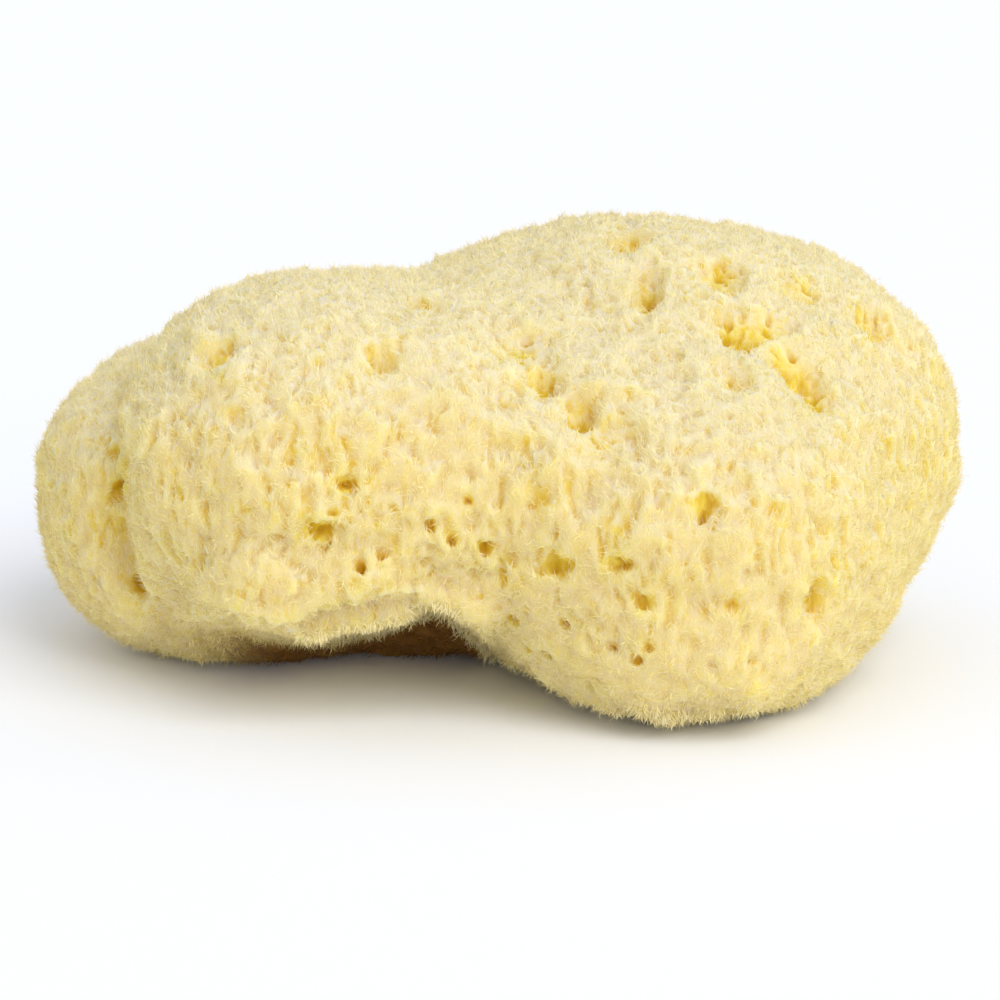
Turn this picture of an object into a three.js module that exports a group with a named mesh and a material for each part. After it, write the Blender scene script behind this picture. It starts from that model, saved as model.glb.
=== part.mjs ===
// A natural bath sponge: one springy body that grew as a single piece, with two swollen lobes,
// a side lobe tucked behind the left one, and an arch under its front edge.
// Millimetres, +Z up. +X is along the sponge and -Y is its front.
// The origin is on the ground, under the middle of the bounding box.

import * as THREE from "three";
import { mergeVertices } from "three/addons/utils/BufferGeometryUtils.js";

// Driving dimensions
const LENGTH = 140; // along X
const DEPTH = 94; // along Y
const HEIGHT = 66; // along Z

// Lobes: middle and radii in millimetres. Boxiness 2 is an ellipsoid, and more is squarer.
// Blend is how far a lobe melts into those before it.
const LOBES = [
  { name: "right", middle: [21, 10, 31], radii: [49, 37, 34], boxiness: 2.1, blend: 0 },
  { name: "rightBase", middle: [28, 4, 18], radii: [28, 33, 21], boxiness: 2.4, blend: 6 },
  { name: "leftFront", middle: [-26, -10, 34], radii: [30, 32, 27], boxiness: 2.1, blend: 9 },
  { name: "middleRidge", middle: [-2, -12, 34], radii: [26, 27, 22], boxiness: 2.2, blend: 8 },
  { name: "frontBelly", middle: [28, -15, 24], radii: [28, 32, 27], boxiness: 2.2, blend: 12 },
  { name: "leftBack", middle: [-39, 12, 23], radii: [31, 32, 25], boxiness: 2.3, blend: 5 },
  { name: "underside", middle: [-10, 14, 15], radii: [28, 22, 17], boxiness: 2.4, blend: 8 },
];

// Hollows cut out of the lobes, with edges rounded by blend
const HOLLOWS = [
  { name: "frontArch", middle: [-15, -40, 0], radii: [19, 36, 17], boxiness: 2, blend: 4 },
];

// The body's skin is followed outwards from here
const CORE = new THREE.Vector3(0, 0, 33);
const SKIN_DIVISIONS = 19; // splits of each icosahedron edge
const REACH = 110; // farther than any skin point
const STEPS = 220;
const BISECTIONS = 24;
const GROUND_SNAP = 0.01;

const SPONGE_COLOUR = 0xf0dfa0;
const SPONGE_ROUGHNESS = 0.95;

// Signed size of a lobe or hollow at a point: below 0 inside, about millimetres near its skin
function lobeField({ middle, radii, boxiness }, point) {
  const share = [point.x, point.y, point.z].map((value, axis) => (value - middle[axis]) / radii[axis]);
  const reach = share.reduce((sum, value) => sum + Math.abs(value) ** boxiness, 0) ** (1 / boxiness);
  return (reach - 1) * Math.min(...radii);
}

// The smaller of two fields, with the crease between them rounded over the blend distance
function meltedMin(a, b, blend) {
  if (blend === 0) return Math.min(a, b);
  const overlap = Math.max(blend - Math.abs(a - b), 0) / blend;
  return Math.min(a, b) - (overlap * overlap * blend) / 4;
}

// The whole sponge as one field, cut off flat at the ground
function spongeField(point) {
  const body = LOBES.reduce(
    (sum, lobe) => meltedMin(sum, lobeField(lobe, point), lobe.blend),
    Infinity,
  );
  const hollowed = HOLLOWS.reduce(
    (sum, hollow) => -meltedMin(-sum, lobeField(hollow, point), hollow.blend),
    body,
  );
  return Math.max(hollowed, -point.z);
}

// Distance from the core to the first skin crossing along a direction
function skinDistance(direction) {
  const point = new THREE.Vector3();
  const fieldAt = (distance) => spongeField(point.copy(CORE).addScaledVector(direction, distance));
  const step = REACH / STEPS;
  let outside = step;
  while (fieldAt(outside) < 0) outside += step;
  let inside = outside - step;
  for (let i = 0; i < BISECTIONS; i++) {
    const middle = (inside + outside) / 2;
    if (fieldAt(middle) < 0) inside = middle;
    else outside = middle;
  }
  return inside;
}

// A closed ball of even triangles, stretched to the sponge's proportions and drawn onto its skin
function spongeGeometry() {
  const ball = new THREE.IcosahedronGeometry(1, SKIN_DIVISIONS);
  ball.deleteAttribute("normal");
  ball.deleteAttribute("uv");
  const geometry = mergeVertices(ball);
  const position = geometry.getAttribute("position");
  const point = new THREE.Vector3();
  const direction = new THREE.Vector3();
  for (let i = 0; i < position.count; i++) {
    direction.fromBufferAttribute(position, i);
    direction.multiply(new THREE.Vector3(LENGTH, DEPTH, HEIGHT)).normalize();
    point.copy(CORE).addScaledVector(direction, skinDistance(direction));
    if (point.z < GROUND_SNAP) point.z = 0;
    position.setXYZ(i, point.x, point.y, point.z);
  }
  return toSize(geometry);
}

// Centres the body over the origin and brings it to its driving dimensions
function toSize(geometry) {
  geometry.computeBoundingBox();
  const { min, max } = geometry.boundingBox;
  geometry.translate(-(min.x + max.x) / 2, -(min.y + max.y) / 2, -min.z);
  geometry.scale(LENGTH / (max.x - min.x), DEPTH / (max.y - min.y), HEIGHT / (max.z - min.z));
  geometry.computeVertexNormals();
  return geometry;
}

const skin = new THREE.MeshStandardMaterial({
  color: SPONGE_COLOUR,
  roughness: SPONGE_ROUGHNESS,
  metalness: 0,
});

const body = new THREE.Mesh(spongeGeometry(), skin);
body.name = "sea_sponge";

const sponge = new THREE.Group();
sponge.add(body);

export default sponge;
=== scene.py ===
# Natural bath sponge: a pale yellow lobed body with tufts, pockets and fine fibres
import math

import bmesh
import bpy
import numpy as np
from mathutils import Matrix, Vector, noise
from mathutils.bvhtree import BVHTree


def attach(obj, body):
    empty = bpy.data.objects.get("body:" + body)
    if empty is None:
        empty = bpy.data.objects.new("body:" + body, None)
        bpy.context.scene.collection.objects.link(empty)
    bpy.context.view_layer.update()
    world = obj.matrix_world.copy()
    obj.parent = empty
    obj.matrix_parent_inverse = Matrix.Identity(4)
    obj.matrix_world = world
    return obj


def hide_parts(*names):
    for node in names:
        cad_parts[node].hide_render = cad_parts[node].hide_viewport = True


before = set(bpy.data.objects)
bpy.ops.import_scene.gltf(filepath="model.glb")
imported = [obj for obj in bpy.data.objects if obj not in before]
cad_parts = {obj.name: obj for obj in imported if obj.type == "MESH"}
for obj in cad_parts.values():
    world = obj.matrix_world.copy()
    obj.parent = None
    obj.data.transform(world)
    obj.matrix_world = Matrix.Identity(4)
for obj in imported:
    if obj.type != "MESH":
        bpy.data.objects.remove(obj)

noise.seed_set(3)  # noise vectors differ from run to run without it
mm = 0.001
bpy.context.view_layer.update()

# Camera, at the photo's viewing angle
photoView = dict(
    pixels=1000,  # the photo is square
    elevation=14.0,  # degrees above the ground
    distance=650 * mm,
    middle=Vector((0, 0, 30 * mm)),  # this point shows at middlePixel
    middlePixel=(499, 468),
    pixelsPerMm=6.75,
    sensor=36.0,
)


def cameraAxes():
    tilt = math.radians(photoView["elevation"])
    right = Vector((1, 0, 0))
    back = Vector((0, -math.cos(tilt), math.sin(tilt)))
    return right, back.cross(right), back


def cameraPlace():
    right, upward, back = cameraAxes()
    half = photoView["pixels"] / 2
    px, py = photoView["middlePixel"]
    aside = right * (half - px) - upward * (half - py)
    return photoView["middle"] + back * photoView["distance"] + aside * (mm / photoView["pixelsPerMm"])


def focalPixels():
    return photoView["pixelsPerMm"] / mm * photoView["distance"]


def makeCamera():
    right, upward, back = cameraAxes()
    data = bpy.data.cameras.new("photoCamera")
    data.sensor_width = photoView["sensor"]
    data.lens = photoView["sensor"] * focalPixels() / photoView["pixels"]
    camera = bpy.data.objects.new("photoCamera", data)
    bpy.context.scene.collection.objects.link(camera)
    camera.location = cameraPlace()
    camera.rotation_mode = "QUATERNION"
    camera.rotation_quaternion = (-back).to_track_quat("-Z", "Y")
    bpy.context.scene.camera = camera
    print("camera at", [round(c / mm) for c in camera.location])


# Small helpers
def smoothStep(low, high, value):
    share = np.clip((value - low) / (high - low), 0.0, 1.0)
    return share * share * (3 - 2 * share)


def unit(vectors):
    return vectors / np.maximum(np.linalg.norm(vectors, axis=-1, keepdims=True), 1e-12)


def points(mesh):
    flat = np.empty(len(mesh.vertices) * 3, np.float32)
    mesh.vertices.foreach_get("co", flat)
    return flat.reshape(-1, 3).astype(float)


def pointNormals(mesh):
    flat = np.empty(len(mesh.vertices) * 3, np.float32)
    mesh.vertex_normals.foreach_get("vector", flat)
    return flat.reshape(-1, 3).astype(float)


def movePoints(mesh, places):
    mesh.vertices.foreach_set("co", places.astype(np.float32).ravel())
    mesh.update()


def setValue(mesh, name, values):
    layer = mesh.attributes.new(name, "FLOAT", "POINT")
    layer.data.foreach_set("value", np.asarray(values, np.float32))


def newPiece(name, mesh):
    piece = bpy.data.objects.new(name, mesh)
    bpy.context.scene.collection.objects.link(piece)
    return piece


def applyModifiers(piece):
    graph = bpy.context.evaluated_depsgraph_get()
    finished = bpy.data.meshes.new_from_object(piece.evaluated_get(graph))
    piece.modifiers.clear()
    piece.data = finished


def upAlongSkin(normals):
    return np.array((0.0, 0.0, 1.0)) - normals * normals[:, 2:3]


# Pockets: mouths in millimetres across and up the skin, found by their photo pixel
pockets = [
    dict(pixel=(345, 488), across=2.8, up=2.4, deep=3.4),
    dict(pixel=(323, 538), across=3.4, up=3.2, deep=3.4),
    dict(pixel=(746, 328), across=3.6, up=3.0, deep=3.5),
    dict(pixel=(742, 322), across=9.0, up=10.0, deep=4.0),
    dict(pixel=(782, 316), across=10.0, up=6.0, deep=3.0),
    dict(pixel=(815, 392), across=2.6, up=4.0, deep=3.0),
    dict(pixel=(812, 372), across=8.0, up=16.0, deep=4.0),
    dict(pixel=(725, 266), across=8.0, up=10.0, deep=3.5),
    dict(pixel=(627, 230), across=8.0, up=10.0, deep=3.5),
    dict(pixel=(648, 282), across=5.0, up=14.0, deep=3.5),
    dict(pixel=(738, 372), across=6.0, up=7.0, deep=3.0),
    dict(pixel=(882, 318), across=8.0, up=8.0, deep=3.0),
    dict(pixel=(800, 276), across=8.0, up=10.0, deep=2.2),
    dict(pixel=(545, 372), across=6.0, up=8.0, deep=3.8),
    dict(pixel=(582, 404), across=4.6, up=7.0, deep=3.8),
    dict(pixel=(515, 335), across=12.0, up=11.0, deep=1.8),
    dict(pixel=(602, 428), across=11.0, up=10.0, deep=1.6),
    dict(pixel=(704, 508), across=4.0, up=4.0, deep=2.4),
    dict(pixel=(533, 503), across=2.0, up=4.4, deep=2.0),
    dict(pixel=(553, 572), across=4.4, up=4.0, deep=2.6),
    dict(pixel=(616, 570), across=4.0, up=3.0, deep=2.4),
    dict(pixel=(643, 608), across=2.4, up=2.4, deep=2.0),
    dict(pixel=(733, 608), across=3.0, up=3.0, deep=2.0),
    dict(pixel=(826, 604), across=5.0, up=7.0, deep=4.0),
    dict(pixel=(210, 350), across=8.0, up=7.0, deep=3.2),
    dict(pixel=(386, 352), across=6.0, up=6.0, deep=3.0),
    dict(pixel=(430, 296), across=5.0, up=7.0, deep=2.6),
    dict(pixel=(482, 555), across=3.0, up=2.2, deep=2.0),
    dict(pixel=(105, 455), across=3.4, up=3.0, deep=2.6),
    dict(pixel=(105, 494), across=3.4, up=3.0, deep=2.6),
    dict(pixel=(110, 532), across=3.0, up=2.6, deep=2.6),
    dict(pixel=(134, 592), across=2.6, up=4.0, deep=2.8),
]

# Pockets on the sides that the photo doesn't show
hiddenPockets = dict(
    seed=14,
    count=40,
    across=(1.8, 5.4),
    up=(1.8, 5.8),
    deep=(1.6, 3.6),
    facing=-0.1,  # skin that faces away from the camera at least this much
    above=8 * mm,
)

# Pinholes, by photo pixel
pinholes = dict(
    across=1.3 * mm,
    core=0.3,  # the share of that at full depth
    deep=2.0 * mm,
    pixels=[
        (617, 680), (593, 686), (490, 628), (512, 622), (648, 646), (751, 659), (753, 693), (547, 653),
        (636, 659), (494, 653), (714, 662), (745, 583), (720, 585), (392, 506), (296, 476), (311, 460),
        (269, 464), (359, 563), (392, 585), (428, 565), (357, 581), (304, 592), (296, 430), (349, 432),
        (334, 512), (467, 501), (430, 526), (453, 540), (384, 550), (610, 647), (529, 648), (561, 626),
        (597, 630),
    ],
)

# Folds: along a line of photo pixels, the skin to its right is pushed back and the left comes forward
folds = [
    dict(
        name="sideFold",
        line=[(128, 360), (121, 420), (121, 480), (125, 540), (138, 588), (152, 612)],
        under=5.0,
        underReach=6.0,
        over=2.5,
        overReach=8.0,
        fadeIn=60,  # pixels
        fadeOut=50,
        soft=0.85,  # the share of its depth that gets no painted shade
    ),
    dict(
        name="leftFront",
        line=[
            (145, 604), (185, 628), (235, 624), (265, 637), (330, 640), (380, 630), (420, 613), (445, 611),
        ],
        over=7.0,
        overReach=14.0,
        fadeIn=110,
        fadeOut=60,
        soft=1.0,
    ),
    dict(
        name="foot",
        line=[
            (470, 630), (490, 655), (520, 688), (560, 706), (600, 714), (660, 722), (720, 722), (770, 712),
            (830, 684),
        ],
        over=5.0,
        overReach=14.0,
        fadeIn=60,
        fadeOut=80,
        soft=1.0,
    ),
    dict(
        name="lip",
        line=[
            (145, 604), (185, 628), (235, 624), (265, 637), (330, 640), (380, 630), (420, 613),
            (445, 611), (470, 630), (490, 655), (520, 688), (560, 706),
        ],
        under=2.0,
        underReach=14.0,
        over=4.0,
        overReach=4.0,
        fadeIn=150,
        fadeOut=50,
        soft=1.0,
    ),
    dict(
        name="archEdge",
        line=[(265, 637), (330, 640), (380, 630), (420, 613), (445, 611), (470, 630), (494, 660)],
        flush=40,  # skin just above it comes this far forward at least, in millimetres
        fadeIn=40,
        fadeOut=50,
        soft=1.0,
    ),
]
foldEnd = (2 * mm, 20 * mm)  # they die out towards the back
foldFacing = (-0.75, -0.35)  # and on skin that faces away from the camera
flushReach = (5, 8)  # millimetres above the line
lipEdge = 1.4  # millimetres over which the painted shade below the lip comes in

# Fringes: strands that hang from a line of photo pixels
fringes = [
    dict(line=[(300, 636), (380, 628), (425, 611), (447, 609)], count=900),
    dict(line=[(447, 611), (480, 645), (520, 686)], count=400),
    dict(line=[(540, 698), (600, 712), (700, 718), (745, 714)], count=900),
]


def mergedSolid():
    bm = bmesh.new()
    bm.from_mesh(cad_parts["sea_sponge"].data)
    bmesh.ops.remove_doubles(bm, verts=bm.verts, dist=0.001 * mm)
    return bm


def cadTree():
    bm = mergedSolid()
    tree = BVHTree.FromBMesh(bm)
    bm.free()
    return tree


def pixelOnSkin(pixel, tree):
    right, upward, back = cameraAxes()
    half = photoView["pixels"] / 2
    ray = right * (pixel[0] - half) + upward * (half - pixel[1]) - back * focalPixels()
    place, normal, face, reach = tree.ray_cast(cameraPlace(), ray.normalized())
    return place and (np.array(place), np.array(normal))


def pixelsOf(places):
    right, upward, back = [np.array(axis) for axis in cameraAxes()]
    off = places - np.array(cameraPlace())
    scale = focalPixels() / -(off @ back)
    half = photoView["pixels"] / 2
    return np.stack((half + off @ right * scale, half - off @ upward * scale), axis=1)


def allPockets(tree):
    found = []
    for pocket in pockets:
        place, normal = pixelOnSkin(pocket["pixel"], tree)
        found.append((place, normal, pocket["across"], pocket["up"], pocket["deep"]))
    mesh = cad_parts["sea_sponge"].data
    places, normals = points(mesh), pointNormals(mesh)
    rng = np.random.default_rng(hiddenPockets["seed"])
    towards = np.array(cameraAxes()[2])
    away = normals @ towards < hiddenPockets["facing"]
    hidden = np.flatnonzero(away & (places[:, 2] > hiddenPockets["above"]))
    for spot in rng.choice(hidden, hiddenPockets["count"], replace=False):
        sizes = [rng.uniform(*hiddenPockets[key]) for key in ("across", "up", "deep")]
        found.append((places[spot], normals[spot], *sizes))
    return found


# Body: a copy of the solid, lumped and pocketed, meshed evenly, then pitted all over
body = dict(
    levels=2,
    inset=1.0 * mm,  # the fibres fill this up to the outline
    lump=9 * mm,  # size of the swellings
    lumpHeight=1.2 * mm,
    knob=2.7 * mm,  # smaller ones on those
    knobHeight=0.85 * mm,
    wide=4.5,  # wider pockets are soft hollows
    soft=0.45,  # and only the rest of their depth gets painted shade
    wideRim=(0.1, 1.3),  # where a hollow starts to rise and ends, in half widths
    narrowRim=(0.45, 1.3),
    pocketLean=0.4,  # pockets run in and down
    ragged=1.7 * mm,  # their rims wander
    raggedness=1.1 * mm,
    voxel=0.52 * mm,
    evenOut=3,  # rounds of smoothing after meshing
    triangles=196000,
    ground=0.15 * mm,
    paintedTopLightFacing=(0.1, 0.9),  # how far up the skin faces that is painted paler, painted light from above
)
pits = dict(
    across=1.8 * mm,  # spacing along the skin
    up=4.4 * mm,
    wander=5 * mm,
    mouth=(0.38, 0.74),  # in spacings
    deep=1.12 * mm,
    lean=0.5,
    wispAcross=1.0 * mm,  # the wisps between them
    wispUp=3.2 * mm,
    wispHeight=0.4 * mm,
    stir=0.7,  # how far the pits wander and fray, in spacings
    fray=0.35,
    floor=0.3,  # the flat share of a pit
    fewBelow=(8 * mm, 26 * mm),  # the lower edges are smoother
    few=0.35,
)


def carvePockets(places, moved, found):
    for middle, axis, across, high, deep in found:
        rim = body["wideRim"] if across > body["wide"] else body["narrowRim"]
        rise = unit(np.array((1e-6, 0.0, 1.0)) - axis * axis[2])
        side = np.cross(rise, axis)
        off = places - middle - rise * (0.5 * body["pocketLean"] * deep * mm)
        near = np.flatnonzero(np.linalg.norm(off, axis=1) < rim[1] * max(across, high) * mm)
        rough = np.array([noise.noise_vector(Vector(p) / body["ragged"]) for p in places[near]])
        off = off[near] + rough.reshape(-1, 3) * body["raggedness"]
        share = np.hypot(off @ side / (across / 2 * mm), off @ rise / (high / 2 * mm))
        depth = (1 - smoothStep(*rim, share)) * deep * mm
        moved[near] -= depth[:, None] * unit(axis + rise * body["pocketLean"])


# Millimetres to the right of a fold's line, and how far the fold has faded in
def besideFold(places, fold):
    spots = pixelsOf(places)
    best = np.full(len(places), np.inf)
    aside = np.zeros(len(places))
    passed = np.zeros(len(places))
    before = 0
    for start, end in zip(fold["line"], fold["line"][1:]):
        start, run = np.array(start, float), np.subtract(end, start).astype(float)
        off = spots - start
        share = np.clip(off @ run / (run @ run), 0, 1)
        gap = np.linalg.norm(off - share[:, None] * run, axis=1)
        across = run[0] * off[:, 1] - run[1] * off[:, 0]
        closer = gap < best
        best = np.where(closer, gap, best)
        aside = np.where(closer, np.sign(across) * gap, aside)
        passed = np.where(closer, before + share * np.linalg.norm(run), passed)
        before += np.linalg.norm(run)
    fadeOut = smoothStep(before - fold["fadeOut"], before, passed)
    fade = smoothStep(0, fold["fadeIn"], passed) * (1 - fadeOut)
    return aside / photoView["pixelsPerMm"], fade * (1 - smoothStep(*foldEnd, places[:, 1]))


def foldOver(places, normals, moved, fold):
    aside, fade = besideFold(places, fold)
    forward = np.array(cameraAxes()[2])
    push = np.zeros(len(places))
    if "over" in fold:
        push += (1 - smoothStep(0, fold["overReach"], -aside)) * (aside < 0) * fold["over"]
    if "under" in fold:
        push -= (1 - smoothStep(0, fold["underReach"], aside)) * (aside >= 0) * fold["under"]
    if "flush" in fold:
        gap = fold["flush"] - moved @ forward / mm
        push = np.maximum(push, gap * (1 - smoothStep(*flushReach, -aside)) * (aside < 0))
    push *= smoothStep(*foldFacing, normals @ forward) * fade * mm
    moved += forward * push[:, None]


# How far the skin lies in under the lip, out of the light: painted shade there, a dark brown that is
# partly the underside's own colour
def paintedShadeUnderLip(places):
    lip = next(fold for fold in folds if fold["name"] == "lip")
    aside, fade = besideFold(places, lip)
    return smoothStep(0.0, lipEdge, aside) * fade


def shapeLobes(mesh, tree):
    places, normals = points(mesh), pointNormals(mesh)
    lumps = np.array([noise.noise(Vector(p) / body["lump"]) for p in places]) * body["lumpHeight"]
    knobs = np.array([noise.noise(Vector(p) / body["knob"]) for p in places]) * body["knobHeight"]
    moved = places + normals * (lumps + knobs - body["inset"])[:, None]
    found = allPockets(tree)
    lumped = moved.copy()
    carvePockets(places, moved, [pocket for pocket in found if pocket[2] > body["wide"]])
    skin = lumped + (moved - lumped) * body["soft"]
    for fold in folds:
        flat = moved.copy()
        foldOver(places, normals, moved, fold)
        skin += (moved - flat) * fold["soft"]
    outer = BVHTree.FromPolygons(skin.tolist(), [face.vertices[:] for face in mesh.polygons])
    carvePockets(places, moved, [pocket for pocket in found if pocket[2] <= body["wide"]])
    moved[:, 2] = np.maximum(moved[:, 2], body["ground"])
    movePoints(mesh, moved)
    return outer


def pitDepths(places):
    depths = np.empty(len(places))
    pitGrain = np.array((pits["across"], pits["across"], pits["up"]))
    wispGrain = np.array((pits["wispAcross"], pits["wispAcross"], pits["wispUp"]))
    upper = pits["few"] + (1 - pits["few"]) * smoothStep(*pits["fewBelow"], places[:, 2])
    small, large = pits["mouth"]
    for i, place in enumerate(places):
        stir = noise.noise_vector(Vector(place) / pits["wander"]) * pits["stir"]
        fine = noise.noise_vector(Vector(place / wispGrain))
        gaps, middles = noise.voronoi(Vector(place / pitGrain) + stir + fine * pits["fray"])
        draw = 0.5 + 0.5 * noise.cell(middles[0] * 7.3)
        mouth = small + (large - small) * draw * upper[i]
        share = min(max((gaps[0] / mouth - pits["floor"]) / (1 - pits["floor"]), 0), 1)
        pit = 1 - share * share * (3 - 2 * share)
        wisp = fine[0] * pits["wispHeight"] * (0.4 + 0.6 * upper[i])
        depths[i] = pit * pits["deep"] * (0.5 + 0.5 * draw) * upper[i] - wisp
    return depths


def pinholeDepths(places, tree):
    depths = np.zeros(len(places))
    for pixel in pinholes["pixels"]:
        gap = np.linalg.norm(places - pixelOnSkin(pixel, tree)[0], axis=1)
        share = 1 - smoothStep(pinholes["core"], 1.0, gap / pinholes["across"])
        depths = np.maximum(depths, share * pinholes["deep"])
    return depths


def makeBody():
    tree = cadTree()
    mesh = bpy.data.meshes.new("sponge_body")
    bm = mergedSolid()
    bm.to_mesh(mesh)
    bm.free()
    piece = newPiece("sponge_body", mesh)
    rounded = piece.modifiers.new("rounded", "SUBSURF")
    rounded.levels = rounded.render_levels = body["levels"]
    applyModifiers(piece)
    outer = shapeLobes(piece.data, tree)
    even = piece.modifiers.new("even", "REMESH")
    even.mode = "VOXEL"
    even.voxel_size = body["voxel"]
    relaxed = piece.modifiers.new("relaxed", "SMOOTH")
    relaxed.iterations = body["evenOut"]
    applyModifiers(piece)
    print("body meshed,", len(piece.data.polygons), "faces")

    places, normals = points(piece.data), pointNormals(piece.data)
    inwards = unit(normals + upAlongSkin(normals) * pits["lean"])
    places -= inwards * (pitDepths(places) + pinholeDepths(places, tree))[:, None]
    places[:, 2] = np.maximum(places[:, 2], body["ground"])
    movePoints(piece.data, places)
    thinned = piece.modifiers.new("thinned", "DECIMATE")
    thinned.ratio = body["triangles"] / (2 * len(piece.data.polygons))
    thinned.use_collapse_triangulate = True
    applyModifiers(piece)

    places, normals = points(piece.data), pointNormals(piece.data)
    nearest = [outer.find_nearest(Vector(p)) for p in places]
    feet = np.array([spot[0] for spot in nearest])
    outwards = np.array([spot[1] for spot in nearest])
    depths = np.maximum(((feet - places) * outwards).sum(axis=1), 0) / mm
    setValue(piece.data, "depth", depths)
    # Painted light, paler on the upper side, and painted shade under the lip
    setValue(piece.data, "paintedTopLight", smoothStep(*body["paintedTopLightFacing"], outwards[:, 2]))
    setValue(piece.data, "paintedShade", paintedShadeUnderLip(places))
    piece.data.polygons.foreach_set("use_smooth", [True] * len(piece.data.polygons))
    piece.data.materials.clear()
    piece.data.materials.append(skinMaterial())
    print("body pitted,", len(piece.data.polygons), "triangles")
    return piece, depths


# Fibres: tapered three-sided strands, joined into a few meshes, in millimetres
fibreGrowth = dict(
    shallow=0.3,  # none are thinned out above this depth
    inPits=0.03,  # share that still grows in the pits
    clear=0.6 * mm,  # none below this height
    tips=0.05 * mm,  # and no tip
    tone=(0.34, 0.68),
    paintedTopLightTone=0.3,  # added on the upper side
    pitTone=0.2,  # taken off in the pits: painted shade
    pitDepth=(0.6, 2.5),
    leastTone=0.15,
    fringeTone=(0.3, 0.9),
    spread=4,  # added on the upper side: painted light
    uneven=(0.75, 1.25),  # thickness from strand to strand
    drift=0.25,
    taper=0.45,
)
wool = dict(
    pieces=3,
    count=48000,
    bends=0,
    length=(0.7, 1.7),
    thick=0.12,
    curl=(0.2, 1.0),
    stand=0.5,  # how far a strand stands off the skin
    rise=0.9,  # how far it is combed up
    clump=1.3,  # neighbours within this lean the same way
    clumping=1.8,
    stray=0.3,
    deepest=1.05,
    seed=21,
)
curls = dict(
    pieces=1,
    count=6900,
    bends=4,
    length=(0.9, 2.0),
    thick=0.11,
    curl=(1.2, 4.4),
    stand=1.0,
    rise=0.2,
    clump=3.0,
    clumping=0.8,
    stray=0.45,
    deepest=1.2,
    seed=31,
)
fringeStrands = dict(
    bends=2,
    length=(0.7, 1.6),
    thick=0.14,
    curl=(0.2, 1.2),
    stand=1.0,
    rise=-0.9,
    clump=1.4,
    clumping=1.6,
    stray=0.25,
    seed=41,
)


def rootsOn(piece, depths, spec, rng):
    mesh = piece.data
    corners = np.empty(len(mesh.loops), np.int32)
    mesh.loops.foreach_get("vertex_index", corners)
    corners = corners.reshape(-1, 3)
    areas = np.empty(len(mesh.polygons), np.float32)
    mesh.polygons.foreach_get("area", areas)
    places, normals = points(mesh), pointNormals(mesh)
    shallow = 1 - smoothStep(fibreGrowth["shallow"], spec["deepest"], depths[corners].mean(axis=1))
    clear = places[corners][:, :, 2].mean(axis=1) > fibreGrowth["clear"]
    weights = areas * (fibreGrowth["inPits"] + shallow) * clear
    faces = rng.choice(len(areas), spec["count"], p=weights / weights.sum())
    shares = rng.dirichlet((1, 1, 1), spec["count"])[:, :, None]
    roots = (places[corners[faces]] * shares).sum(axis=1)
    stands = unit((normals[corners[faces]] * shares).sum(axis=1))
    # the last is the painted shade under the lip
    return roots, stands, depths[corners[faces]].mean(axis=1), paintedShadeUnderLip(roots)


def combed(roots, stands, spec, rng):
    clumps = np.array([noise.noise_vector(Vector(p) / (spec["clump"] * mm)) for p in roots])
    strays = rng.normal(0, spec["stray"], stands.shape)
    lying = upAlongSkin(stands) * spec["rise"] + clumps * spec["clumping"] + strays
    lying -= stands * (lying * stands).sum(axis=1, keepdims=True)
    return unit(stands * spec["stand"] + lying)


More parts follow.
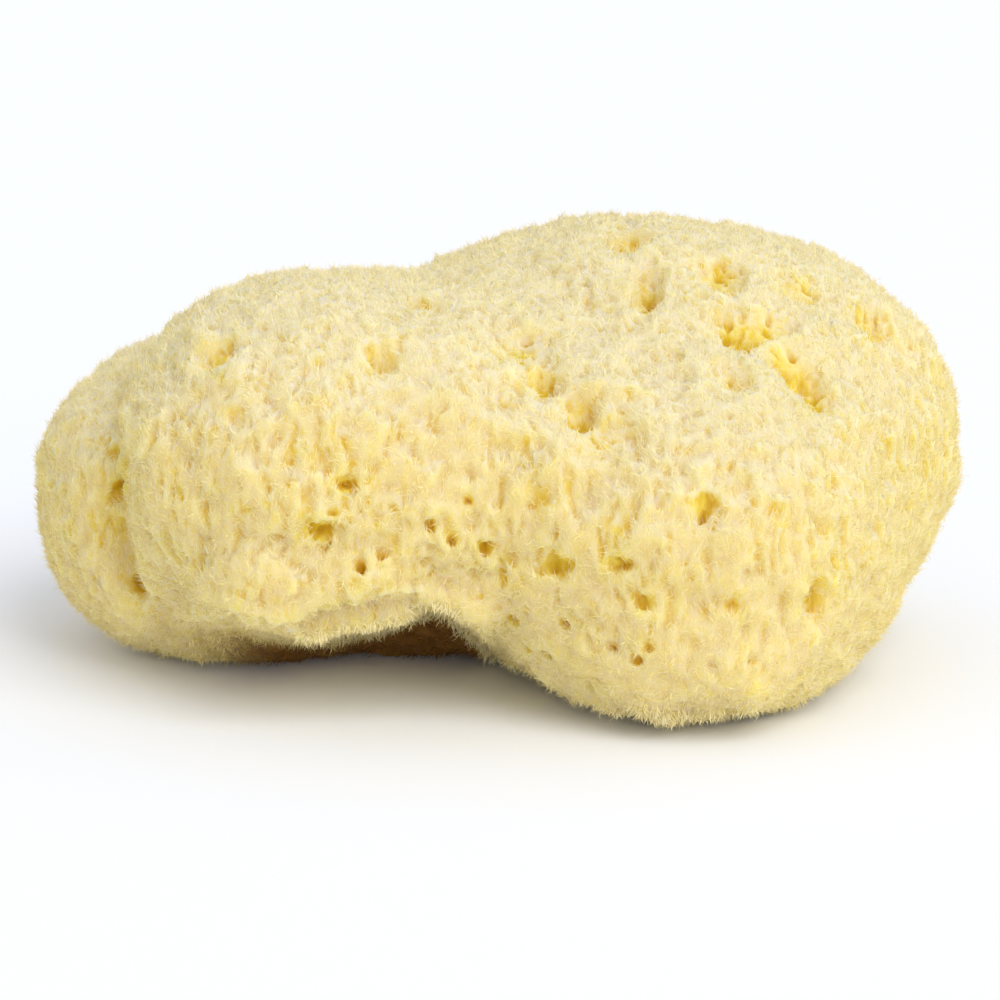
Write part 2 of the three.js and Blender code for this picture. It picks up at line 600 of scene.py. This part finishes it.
def growStrands(name, spec, roots, stands, ahead, tone, rng):
    count, rings = len(roots), spec["bends"]
    lengths = rng.uniform(*spec["length"], count) * mm
    thick = spec["thick"] / 2 * mm * rng.uniform(*fibreGrowth["uneven"], count)
    side = unit(np.cross(ahead, rng.normal(size=(count, 3))))
    across = np.cross(ahead, side)
    turn = rng.uniform(*spec["curl"], count)
    drift = rng.normal(0, fibreGrowth["drift"], count)

    def centre(share):
        run = np.sin(turn * share) / turn
        bend = (1 - np.cos(turn * share)) / turn
        offset = ahead * run[:, None] + side * bend[:, None] + across * (drift * share**2)[:, None]
        return roots + offset * lengths[:, None]

    # Three points round each ring, with a flat side outwards, and one at the tip
    columns, alongs = [], []
    for ring in range(rings + 1):
        share = ring / (rings + 1)
        middle = centre(share)
        heading = unit(centre(share + 0.02) - centre(share - 0.02))
        outA = unit(heading * (stands * heading).sum(axis=1, keepdims=True) - stands + 1e-6)
        outB = np.cross(heading, outA)
        radius = (thick * (1 - fibreGrowth["taper"] * share))[:, None]
        for corner in range(3):
            angle = corner * math.tau / 3
            columns.append(middle + (outA * math.cos(angle) + outB * math.sin(angle)) * radius)
            alongs.append(share)
    columns.append(centre(1.0))
    alongs.append(1.0)
    perStrand = len(columns)
    places = np.stack(columns, axis=1).reshape(-1, 3)

    pattern = [(0, 2, 1)]
    for ring in range(rings):
        for corner in range(3):
            here, there = ring * 3 + corner, ring * 3 + (corner + 1) % 3
            pattern += [(here, there, there + 3), (here, there + 3, here + 3)]
    top = rings * 3
    pattern += [(top + corner, top + (corner + 1) % 3, perStrand - 1) for corner in range(3)]
    pattern = np.array(pattern)
    triangles = (pattern[None] + (np.arange(count) * perStrand)[:, None, None]).reshape(-1, 3)

    mesh = bpy.data.meshes.new(name)
    mesh.vertices.add(len(places))
    mesh.loops.add(triangles.size)
    mesh.polygons.add(len(triangles))
    places[:, 2] = np.maximum(places[:, 2], fibreGrowth["tips"])
    mesh.vertices.foreach_set("co", places.astype(np.float32).ravel())
    mesh.loops.foreach_set("vertex_index", triangles.astype(np.int32).ravel())
    mesh.polygons.foreach_set("loop_start", np.arange(0, triangles.size, 3, dtype=np.int32))
    mesh.update(calc_edges=True)
    mesh.shade_flat()
    along = np.tile(alongs, count)
    tones = np.repeat(tone, perStrand)
    setValue(mesh, "along", along)
    setValue(mesh, "tone", tones)
    chart = mesh.uv_layers.new(name="OFBake")
    spots = np.stack((tones, along), axis=1)[triangles.ravel()] * 0.98 + 0.01
    chart.data.foreach_set("uv", spots.astype(np.float32).ravel())
    mesh.materials.append(fibreMaterial())
    print(name, len(triangles), "triangles")
    return newPiece(name, mesh)


def fringeRoots(tree, rng):
    roots, stands = [], []
    for fringe in fringes:
        line = np.array(fringe["line"], float)
        steps = np.linalg.norm(np.diff(line, axis=0), axis=1)
        marks = np.concatenate(([0], np.cumsum(steps)))
        spots = rng.uniform(0, marks[-1], fringe["count"])
        pixels = np.stack([np.interp(spots, marks, line[:, axis]) for axis in (0, 1)], axis=1)
        for pixel in pixels + rng.normal(0, fibreGrowth["spread"], pixels.shape):
            hit = pixelOnSkin(pixel, tree)
            if hit:
                roots.append(hit[0])
                stands.append(hit[1])
    return np.array(roots), np.array(stands)


# Painted light makes them paler on the upper side, painted shade yellower in the pits and brown under the
# lip
def strandTones(stands, deep, paintedShade, rng):
    tone = rng.uniform(*fibreGrowth["tone"], len(stands))
    tone += fibreGrowth["paintedTopLightTone"] * smoothStep(*body["paintedTopLightFacing"], stands[:, 2])
    tone -= fibreGrowth["pitTone"] * smoothStep(*fibreGrowth["pitDepth"], deep)
    return np.clip(tone, fibreGrowth["leastTone"], 1) * (1 - paintedShade)


def makeFibres(bodyPiece, depths):
    made = []
    for label, spec in (("wool", wool), ("curls", curls)):
        for number in range(spec["pieces"]):
            rng = np.random.default_rng(spec["seed"] + number)
            roots, stands, deep, paintedShade = rootsOn(bodyPiece, depths, spec, rng)
            ahead = combed(roots, stands, spec, rng)
            tone = strandTones(stands, deep, paintedShade, rng)
            made.append(growStrands(f"sponge_{label}_{number + 1}", spec, roots, stands, ahead, tone, rng))
    rng = np.random.default_rng(fringeStrands["seed"])
    mesh = bodyPiece.data
    skin = BVHTree.FromPolygons(points(mesh).tolist(), [face.vertices[:] for face in mesh.polygons])
    roots, stands = fringeRoots(skin, rng)
    ahead = combed(roots, stands, fringeStrands, rng)
    tone = rng.uniform(*fibreGrowth["fringeTone"], len(roots))
    made.append(growStrands("sponge_fringe", fringeStrands, roots, stands, ahead, tone, rng))
    return made


# Materials
skinFinish = dict(
    # Painted shade: the skin turns darker and deeper yellow with depth below the outline, in pits, pockets
    # and folds
    depths=[
        (0.0, (0.79, 0.65, 0.31)),
        (0.15, (0.80, 0.645, 0.22)),
        (0.3, (0.81, 0.625, 0.11)),
        (0.6, (0.75, 0.52, 0.03)),
        (1.0, (0.64, 0.40, 0.012)),
    ],
    paintedTopLight=(0.80, 0.71, 0.45),  # painted light: the upper side is paler
    paintedShade=(0.22, 0.10, 0.02),  # painted shade under the lip
    deepest=3.4,  # millimetres below the outline for the last colour, the darkest painted shade
    mottle=0.07,  # how far noise shifts the colours, as a share of that
    wisps=0.12,
    paintedTopLightDepth=(0.1, 0.5),  # the painted light on the upper side ends between these shares
    grain=0.6 * mm,
    specular=0.15,
    roughness=(0.85, 0.98),
    bump=0.7,
    bumpHeight=0.3 * mm,
    glow=1.0,  # light that passes under the skin
    glowReach=(6.5 * mm, 6.5 * mm, 1.0 * mm),
)
fibreFinish = dict(
    # Low tones are painted shade, in the pits and brown under the lip; high tones are painted light on the
    # upper side; the rest differ at random
    tones=[
        (0.0, (0.22, 0.10, 0.02)),
        (0.15, (0.82, 0.68, 0.28)),
        (0.5, (0.86, 0.745, 0.38)),
        (1.0, (0.90, 0.825, 0.57)),
    ],
    rootTone=0.85,  # a strand's root against its tip: painted shade, darker towards the root
    roughness=0.8,
    specular=0.2,
)
woollyNoise = dict(
    mottle=7 * mm,
    streak=1.3 * mm,
    drawn=(1, 1, 0.35),
    span=(0.3, 0.7),  # the middle part of the noise's range
)


def addNode(tree, kind, **settings):
    node = tree.nodes.new(kind)
    for key, value in settings.items():
        setattr(node, key, value)
    return node


def startMaterial(name):
    material = bpy.data.materials.new(name)
    material.use_nodes = True
    tree = material.node_tree
    tree.nodes.clear()
    shader = addNode(tree, "ShaderNodeBsdfPrincipled")
    output = addNode(tree, "ShaderNodeOutputMaterial")
    tree.links.new(shader.outputs["BSDF"], output.inputs["Surface"])
    return material, tree, shader


def setRamp(node, stops):
    ramp = node.color_ramp
    while len(ramp.elements) > 1:
        ramp.elements.remove(ramp.elements[-1])
    ramp.elements[0].position = stops[0][0]
    ramp.elements[0].color = (*stops[0][1], 1)
    for place, colour in stops[1:]:
        ramp.elements.new(place).color = (*colour, 1)


def noiseNode(tree, vector, scale, detail, distortion=0.0):
    node = addNode(tree, "ShaderNodeTexNoise")
    node.inputs["Scale"].default_value = scale
    node.inputs["Detail"].default_value = detail
    node.inputs["Distortion"].default_value = distortion
    tree.links.new(vector, node.inputs["Vector"])
    return node


# Mottle is broad, and Streak and Height are the wisps, drawn out upwards
def woollyGroup():
    group = bpy.data.node_groups.new("woolly", "ShaderNodeTree")
    group.interface.new_socket("Grain", in_out="INPUT", socket_type="NodeSocketFloat")
    for name in ("Mottle", "Streak", "Height"):
        group.interface.new_socket(name, in_out="OUTPUT", socket_type="NodeSocketFloat")
    start = addNode(group, "NodeGroupInput")
    end = addNode(group, "NodeGroupOutput")
    where = addNode(group, "ShaderNodeTexCoord").outputs["Object"]
    mottle = noiseNode(group, where, 1 / woollyNoise["mottle"], 3)
    drawn = addNode(group, "ShaderNodeMapping")
    drawn.inputs["Scale"].default_value = woollyNoise["drawn"]
    group.links.new(where, drawn.inputs["Vector"])
    streak = noiseNode(group, drawn.outputs["Vector"], 1 / woollyNoise["streak"], 3, 1.5)
    height = noiseNode(group, drawn.outputs["Vector"], 1, 4, 1.8)
    group.links.new(start.outputs["Grain"], height.inputs["Scale"])
    group.links.new(mottle.outputs["Fac"], end.inputs["Mottle"])
    group.links.new(streak.outputs["Fac"], end.inputs["Streak"])
    group.links.new(height.outputs["Fac"], end.inputs["Height"])
    return group


def useWoolly(tree, grain):
    node = addNode(tree, "ShaderNodeGroup")
    node.node_tree = bpy.data.node_groups.get("woolly") or woollyGroup()
    node.inputs["Grain"].default_value = grain
    return node


def rangeNode(tree, source, low, high, start=0.0, end=1.0):
    node = addNode(tree, "ShaderNodeMapRange")
    node.inputs["From Min"].default_value = start
    node.inputs["From Max"].default_value = end
    node.inputs["To Min"].default_value = low
    node.inputs["To Max"].default_value = high
    tree.links.new(source, node.inputs["Value"])
    return node.outputs["Result"]


def skinMaterial():
    material, tree, shader = startMaterial("sponge_skin")
    woolly = useWoolly(tree, 1 / skinFinish["grain"])
    # Depth below the outline picks the colour from the ramp: painted shade in the pits and pockets
    depth = addNode(tree, "ShaderNodeAttribute", attribute_name="depth")
    share = rangeNode(tree, depth.outputs["Fac"], 0, 1, 0, skinFinish["deepest"])
    mottle, wisp = skinFinish["mottle"], skinFinish["wisps"]
    stir = rangeNode(tree, woolly.outputs["Mottle"], -mottle, mottle, *woollyNoise["span"])
    wisps = rangeNode(tree, woolly.outputs["Streak"], wisp, -wisp, *woollyNoise["span"])
    stirred = addNode(tree, "ShaderNodeMath", operation="ADD")
    tree.links.new(stir, stirred.inputs[0])
    tree.links.new(wisps, stirred.inputs[1])
    mixed = addNode(tree, "ShaderNodeMath", operation="ADD")
    tree.links.new(share, mixed.inputs[0])
    tree.links.new(stirred.outputs[0], mixed.inputs[1])
    ramp = addNode(tree, "ShaderNodeValToRGB")
    setRamp(ramp, skinFinish["depths"])
    tree.links.new(mixed.outputs[0], ramp.inputs["Fac"])
    # Painted light: shallow skin on the upper side is paler
    paintedTopLight = addNode(tree, "ShaderNodeAttribute", attribute_name="paintedTopLight")
    mix = addNode(tree, "ShaderNodeMix", data_type="RGBA")
    mix.inputs[7].default_value = (*skinFinish["paintedTopLight"], 1)
    shallow = rangeNode(tree, mixed.outputs[0], 1, 0, *skinFinish["paintedTopLightDepth"])
    paler = addNode(tree, "ShaderNodeMath", operation="MULTIPLY")
    tree.links.new(paintedTopLight.outputs["Fac"], paler.inputs[0])
    tree.links.new(shallow, paler.inputs[1])
    tree.links.new(paler.outputs[0], mix.inputs[0])
    tree.links.new(ramp.outputs["Color"], mix.inputs[6])
    # Painted shade: dark brown under the lip
    paintedShade = addNode(tree, "ShaderNodeAttribute", attribute_name="paintedShade")
    paintedShadeMix = addNode(tree, "ShaderNodeMix", data_type="RGBA")
    paintedShadeMix.inputs[7].default_value = (*skinFinish["paintedShade"], 1)
    tree.links.new(paintedShade.outputs["Fac"], paintedShadeMix.inputs[0])
    tree.links.new(mix.outputs[2], paintedShadeMix.inputs[6])
    tree.links.new(paintedShadeMix.outputs[2], shader.inputs["Base Color"])
    rough = rangeNode(tree, woolly.outputs["Height"], *skinFinish["roughness"])
    tree.links.new(rough, shader.inputs["Roughness"])
    bump = addNode(tree, "ShaderNodeBump")
    bump.inputs["Strength"].default_value = skinFinish["bump"]
    bump.inputs["Distance"].default_value = skinFinish["bumpHeight"]
    tree.links.new(woolly.outputs["Height"], bump.inputs["Height"])
    tree.links.new(bump.outputs["Normal"], shader.inputs["Normal"])
    shader.inputs["Subsurface Weight"].default_value = skinFinish["glow"]
    shader.inputs["Subsurface Radius"].default_value = [reach / mm for reach in skinFinish["glowReach"]]
    shader.inputs["Subsurface Scale"].default_value = mm
    shader.inputs["Specular IOR Level"].default_value = skinFinish["specular"]
    return material


def fibreMaterial():
    if "sponge_fibre" in bpy.data.materials:
        return bpy.data.materials["sponge_fibre"]
    material, tree, shader = startMaterial("sponge_fibre")
    along = addNode(tree, "ShaderNodeAttribute", attribute_name="along")
    tone = addNode(tree, "ShaderNodeAttribute", attribute_name="tone")
    colour = addNode(tree, "ShaderNodeValToRGB")
    setRamp(colour, fibreFinish["tones"])
    # Painted shade: the tone drops towards the root
    paler = rangeNode(tree, along.outputs["Fac"], fibreFinish["rootTone"], 1.0, 0.0, 0.6)
    mixed = addNode(tree, "ShaderNodeMath", operation="MULTIPLY")
    tree.links.new(tone.outputs["Fac"], mixed.inputs[0])
    tree.links.new(paler, mixed.inputs[1])
    tree.links.new(mixed.outputs[0], colour.inputs["Fac"])
    tree.links.new(colour.outputs["Color"], shader.inputs["Base Color"])
    shader.inputs["Roughness"].default_value = fibreFinish["roughness"]
    shader.inputs["Specular IOR Level"].default_value = fibreFinish["specular"]
    return material


# Studio: pale floor and soft light
studio = dict(
    floorSize=6.0,
    floorColour=(0.93, 0.945, 0.98, 1),
    floorRoughness=0.8,
    floorSpecular=0.2,
    sky=0.72,
    skyColour=(0.97, 0.985, 1.03, 1),
    suns=[
        dict(name="key", source=(0.40, -0.58, 0.71), power=1.3, softness=40),  # softness in degrees
        dict(name="fill", source=(0.36, -0.92, 0.14), power=1.2, softness=60),
    ],
)


def makeStudio():
    scene = bpy.context.scene
    scene.view_settings.view_transform = "Standard"
    world = bpy.data.worlds.new("studioSky")
    world.use_nodes = True
    scene.world = world
    sky = world.node_tree.nodes["Background"]
    sky.inputs["Color"].default_value = studio["skyColour"]
    sky.inputs["Strength"].default_value = studio["sky"]
    for spec in studio["suns"]:
        data = bpy.data.lights.new(spec["name"], "SUN")
        data.energy = spec["power"]
        data.angle = math.radians(spec["softness"])
        sun = bpy.data.objects.new(spec["name"], data)
        scene.collection.objects.link(sun)
        sun.rotation_mode = "QUATERNION"
        sun.rotation_quaternion = Vector(spec["source"]).to_track_quat("Z", "Y")
    mesh = bpy.data.meshes.new("floor")
    bm = bmesh.new()
    bmesh.ops.create_grid(bm, x_segments=1, y_segments=1, size=studio["floorSize"] / 2)
    bm.to_mesh(mesh)
    bm.free()
    floor = newPiece("floor", mesh)
    material, tree, shader = startMaterial("floor_white")
    shader.inputs["Base Color"].default_value = studio["floorColour"]
    shader.inputs["Roughness"].default_value = studio["floorRoughness"]
    shader.inputs["Specular IOR Level"].default_value = studio["floorSpecular"]
    mesh.materials.append(material)
    print("studio ready")


makeCamera()
makeStudio()
bodyPiece, bodyDepths = makeBody()
fibres = makeFibres(bodyPiece, bodyDepths)
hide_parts("sea_sponge")
for piece in (bodyPiece, *fibres):
    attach(piece, "root")
